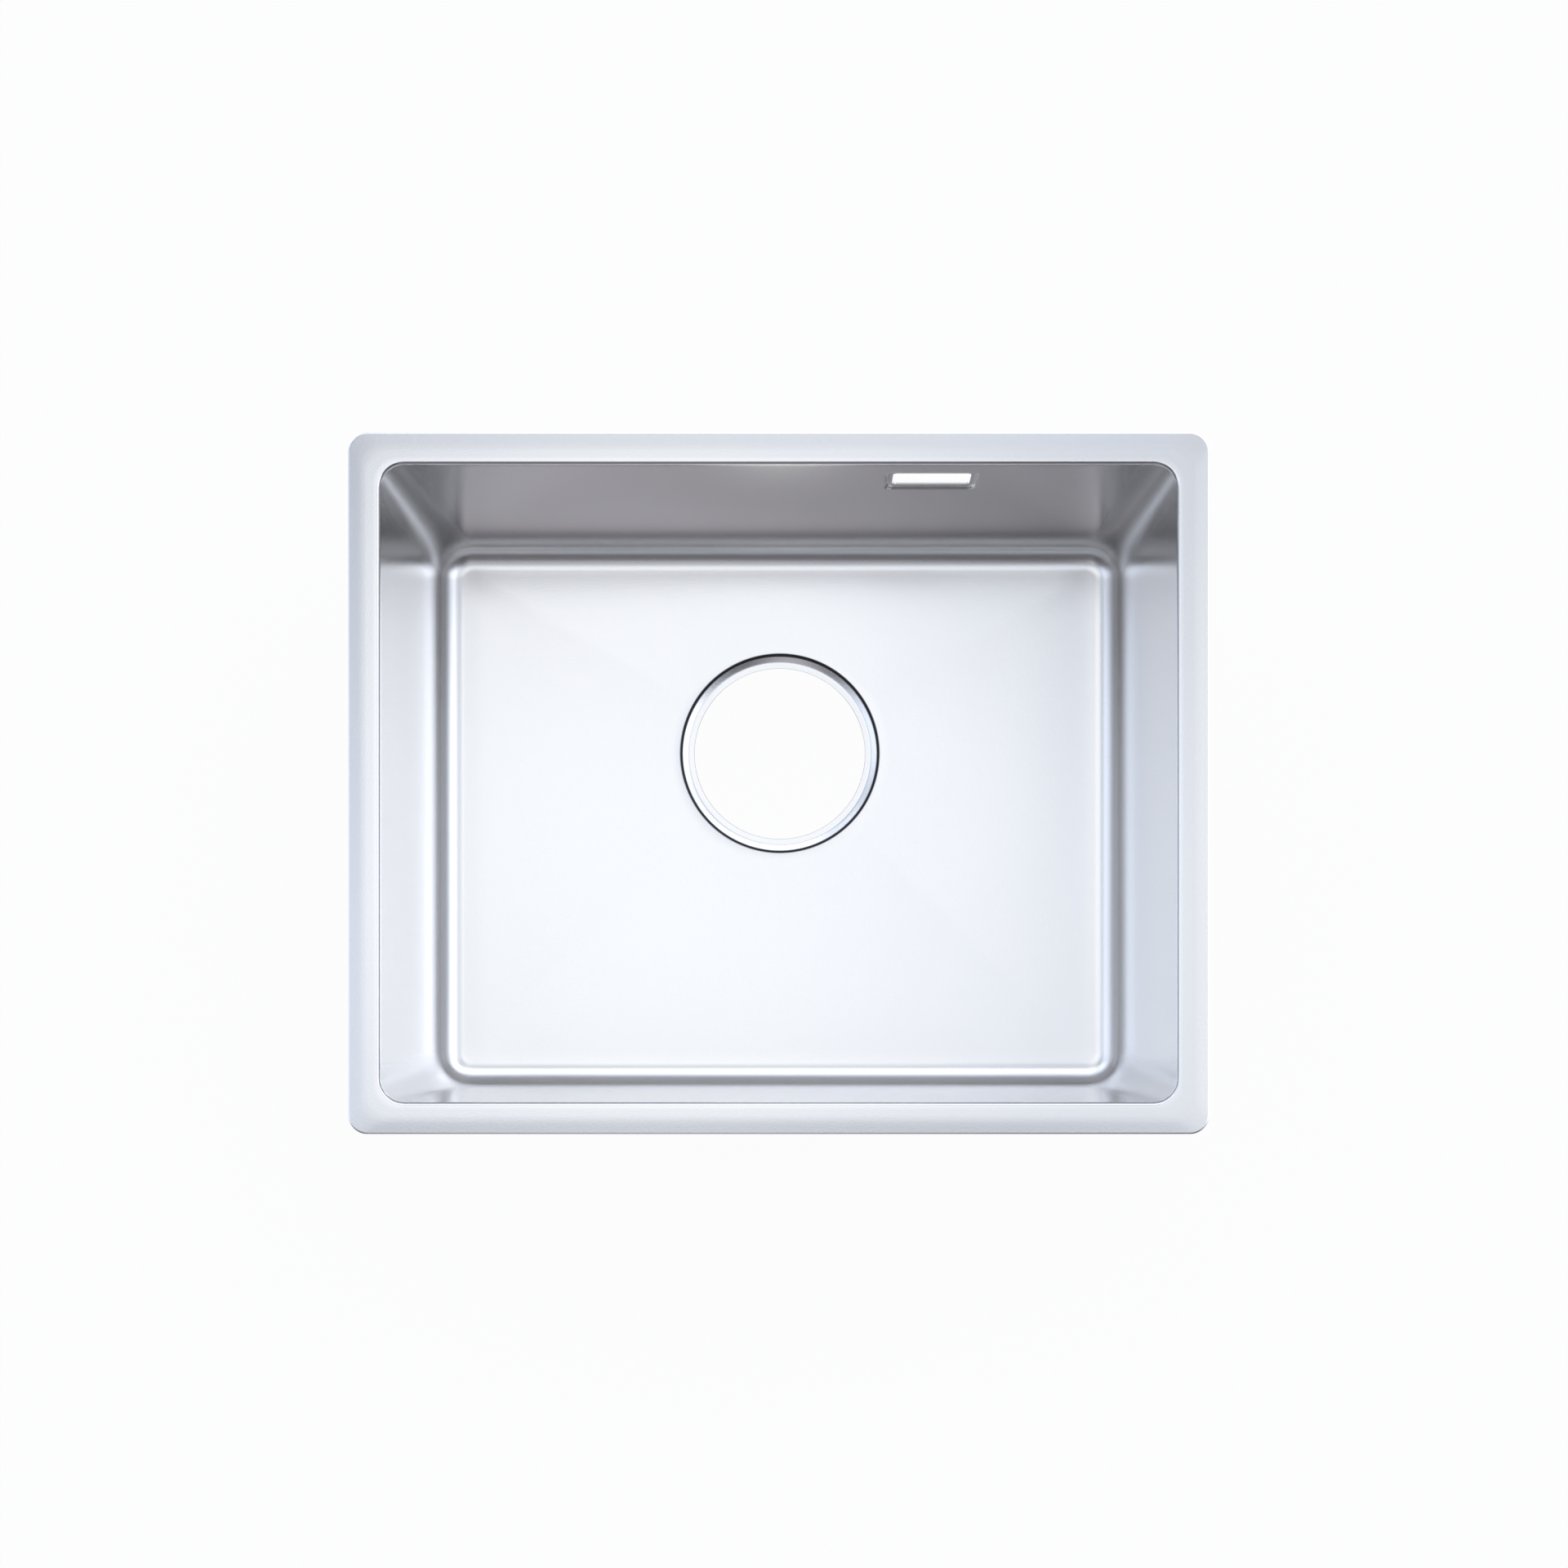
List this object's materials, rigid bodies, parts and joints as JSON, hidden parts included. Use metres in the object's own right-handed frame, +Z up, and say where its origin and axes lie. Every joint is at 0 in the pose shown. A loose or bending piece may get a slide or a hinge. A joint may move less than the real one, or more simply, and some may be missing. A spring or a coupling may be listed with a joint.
{
  "type": "undermount kitchen sink",
  "caption": "Undermount kitchen sink bowl in satin stainless sheet with a flat rim, recessed drain hole, overflow slot, sound pads and swing-out fixing lugs under the rim.",
  "frame": {"origin": "under the middle of the rim's outline, in the plane of the base pads' undersides", "axes": "+X to the right along the long side, +Y to the back wall with the overflow slot, +Z up out of the bowl"},
  "size_m": [0.54, 0.44, 0.2065],
  "materials": {
    "stainless": "satin, fine grain",
    "stud_steel": "plain stainless",
    "zinc_steel": "bright zinc plating",
    "pad_rubber": "matt, waffle-moulded"
  },
  "bodies": {
    "sink": {"bowl_shell": "stainless", "weld_studs": "stud_steel", "base_pad_left": "pad_rubber", "base_pad_right": "pad_rubber", "base_pad_front": "pad_rubber", "base_pad_back": "pad_rubber", "side_pad_front": "pad_rubber", "side_pad_back": "pad_rubber", "side_pad_left": "pad_rubber", "side_pad_right": "pad_rubber"},
    "lug_front_left": {"lug_front_left": "zinc_steel"},
    "washer_front_left": {"washer_front_left": "zinc_steel"},
    "wing_nut_front_left": {"wing_nut_front_left": "zinc_steel"},
    "lug_front_right": {"lug_front_right": "zinc_steel"},
    "washer_front_right": {"washer_front_right": "zinc_steel"},
    "wing_nut_front_right": {"wing_nut_front_right": "zinc_steel"},
    "lug_back_left": {"lug_back_left": "zinc_steel"},
    "washer_back_left": {"washer_back_left": "zinc_steel"},
    "wing_nut_back_left": {"wing_nut_back_left": "zinc_steel"},
    "lug_back_right": {"lug_back_right": "zinc_steel"},
    "washer_back_right": {"washer_back_right": "zinc_steel"},
    "wing_nut_back_right": {"wing_nut_back_right": "zinc_steel"},
    "lug_left": {"lug_left": "zinc_steel"},
    "washer_left": {"washer_left": "zinc_steel"},
    "wing_nut_left": {"wing_nut_left": "zinc_steel"},
    "lug_right": {"lug_right": "zinc_steel"},
    "washer_right": {"washer_right": "zinc_steel"},
    "wing_nut_right": {"wing_nut_right": "zinc_steel"}
  },
  "joints": [
    {"name": "lug_front_left_swing", "type": "hinge", "parent": "sink", "child": "lug_front_left", "pos_m": [-0.17, -0.212, 0.20405], "axis": [0, 0, 1], "range_deg": [0, 90]},
    {"name": "washer_front_left_travel", "type": "slide", "parent": "sink", "child": "washer_front_left", "axis": [0, 0, -1], "range_m": [0, 0.0035]},
    {"name": "wing_nut_front_left_turn", "type": "hinge", "parent": "washer_front_left", "child": "wing_nut_front_left", "pos_m": [-0.17, -0.212, 0.2014], "axis": [0, 0, -1], "range_deg": [0, 1800]},
    {"name": "lug_front_right_swing", "type": "hinge", "parent": "sink", "child": "lug_front_right", "pos_m": [0.17, -0.212, 0.20405], "axis": [0, 0, -1], "range_deg": [0, 90]},
    {"name": "washer_front_right_travel", "type": "slide", "parent": "sink", "child": "washer_front_right", "axis": [0, 0, -1], "range_m": [0, 0.0035]},
    {"name": "wing_nut_front_right_turn", "type": "hinge", "parent": "washer_front_right", "child": "wing_nut_front_right", "pos_m": [0.17, -0.212, 0.2014], "axis": [0, 0, -1], "range_deg": [0, 1800]},
    {"name": "lug_back_left_swing", "type": "hinge", "parent": "sink", "child": "lug_back_left", "pos_m": [-0.17, 0.212, 0.20405], "axis": [0, 0, -1], "range_deg": [0, 90]},
    {"name": "washer_back_left_travel", "type": "slide", "parent": "sink", "child": "washer_back_left", "axis": [0, 0, -1], "range_m": [0, 0.0035]},
    {"name": "wing_nut_back_left_turn", "type": "hinge", "parent": "washer_back_left", "child": "wing_nut_back_left", "pos_m": [-0.17, 0.212, 0.2014], "axis": [0, 0, -1], "range_deg": [0, 1800]},
    {"name": "lug_back_right_swing", "type": "hinge", "parent": "sink", "child": "lug_back_right", "pos_m": [0.17, 0.212, 0.20405], "axis": [0, 0, 1], "range_deg": [0, 90]},
    {"name": "washer_back_right_travel", "type": "slide", "parent": "sink", "child": "washer_back_right", "axis": [0, 0, -1], "range_m": [0, 0.0035]},
    {"name": "wing_nut_back_right_turn", "type": "hinge", "parent": "washer_back_right", "child": "wing_nut_back_right", "pos_m": [0.17, 0.212, 0.2014], "axis": [0, 0, -1], "range_deg": [0, 1800]},
    {"name": "lug_left_swing", "type": "hinge", "parent": "sink", "child": "lug_left", "pos_m": [-0.262, 0, 0.20405], "axis": [0, 0, -1], "range_deg": [0, 90]},
    {"name": "washer_left_travel", "type": "slide", "parent": "sink", "child": "washer_left", "axis": [0, 0, -1], "range_m": [0, 0.0035]},
    {"name": "wing_nut_left_turn", "type": "hinge", "parent": "washer_left", "child": "wing_nut_left", "pos_m": [-0.262, 0, 0.2014], "axis": [0, 0, -1], "range_deg": [0, 1800]},
    {"name": "lug_right_swing", "type": "hinge", "parent": "sink", "child": "lug_right", "pos_m": [0.262, 0, 0.20405], "axis": [0, 0, 1], "range_deg": [0, 90]},
    {"name": "washer_right_travel", "type": "slide", "parent": "sink", "child": "washer_right", "axis": [0, 0, -1], "range_m": [0, 0.0035]},
    {"name": "wing_nut_right_turn", "type": "hinge", "parent": "washer_right", "child": "wing_nut_right", "pos_m": [0.262, 0, 0.2014], "axis": [0, 0, -1], "range_deg": [0, 1800]}
  ],
  "couplings": [
    {"joint": "washer_front_left_travel", "follows": "wing_nut_front_left_turn", "m_per_rad": 0.00011141},
    {"joint": "washer_front_right_travel", "follows": "wing_nut_front_right_turn", "m_per_rad": 0.00011141},
    {"joint": "washer_back_left_travel", "follows": "wing_nut_back_left_turn", "m_per_rad": 0.00011141},
    {"joint": "washer_back_right_travel", "follows": "wing_nut_back_right_turn", "m_per_rad": 0.00011141},
    {"joint": "washer_left_travel", "follows": "wing_nut_left_turn", "m_per_rad": 0.00011141},
    {"joint": "washer_right_travel", "follows": "wing_nut_right_turn", "m_per_rad": 0.00011141}
  ]
}
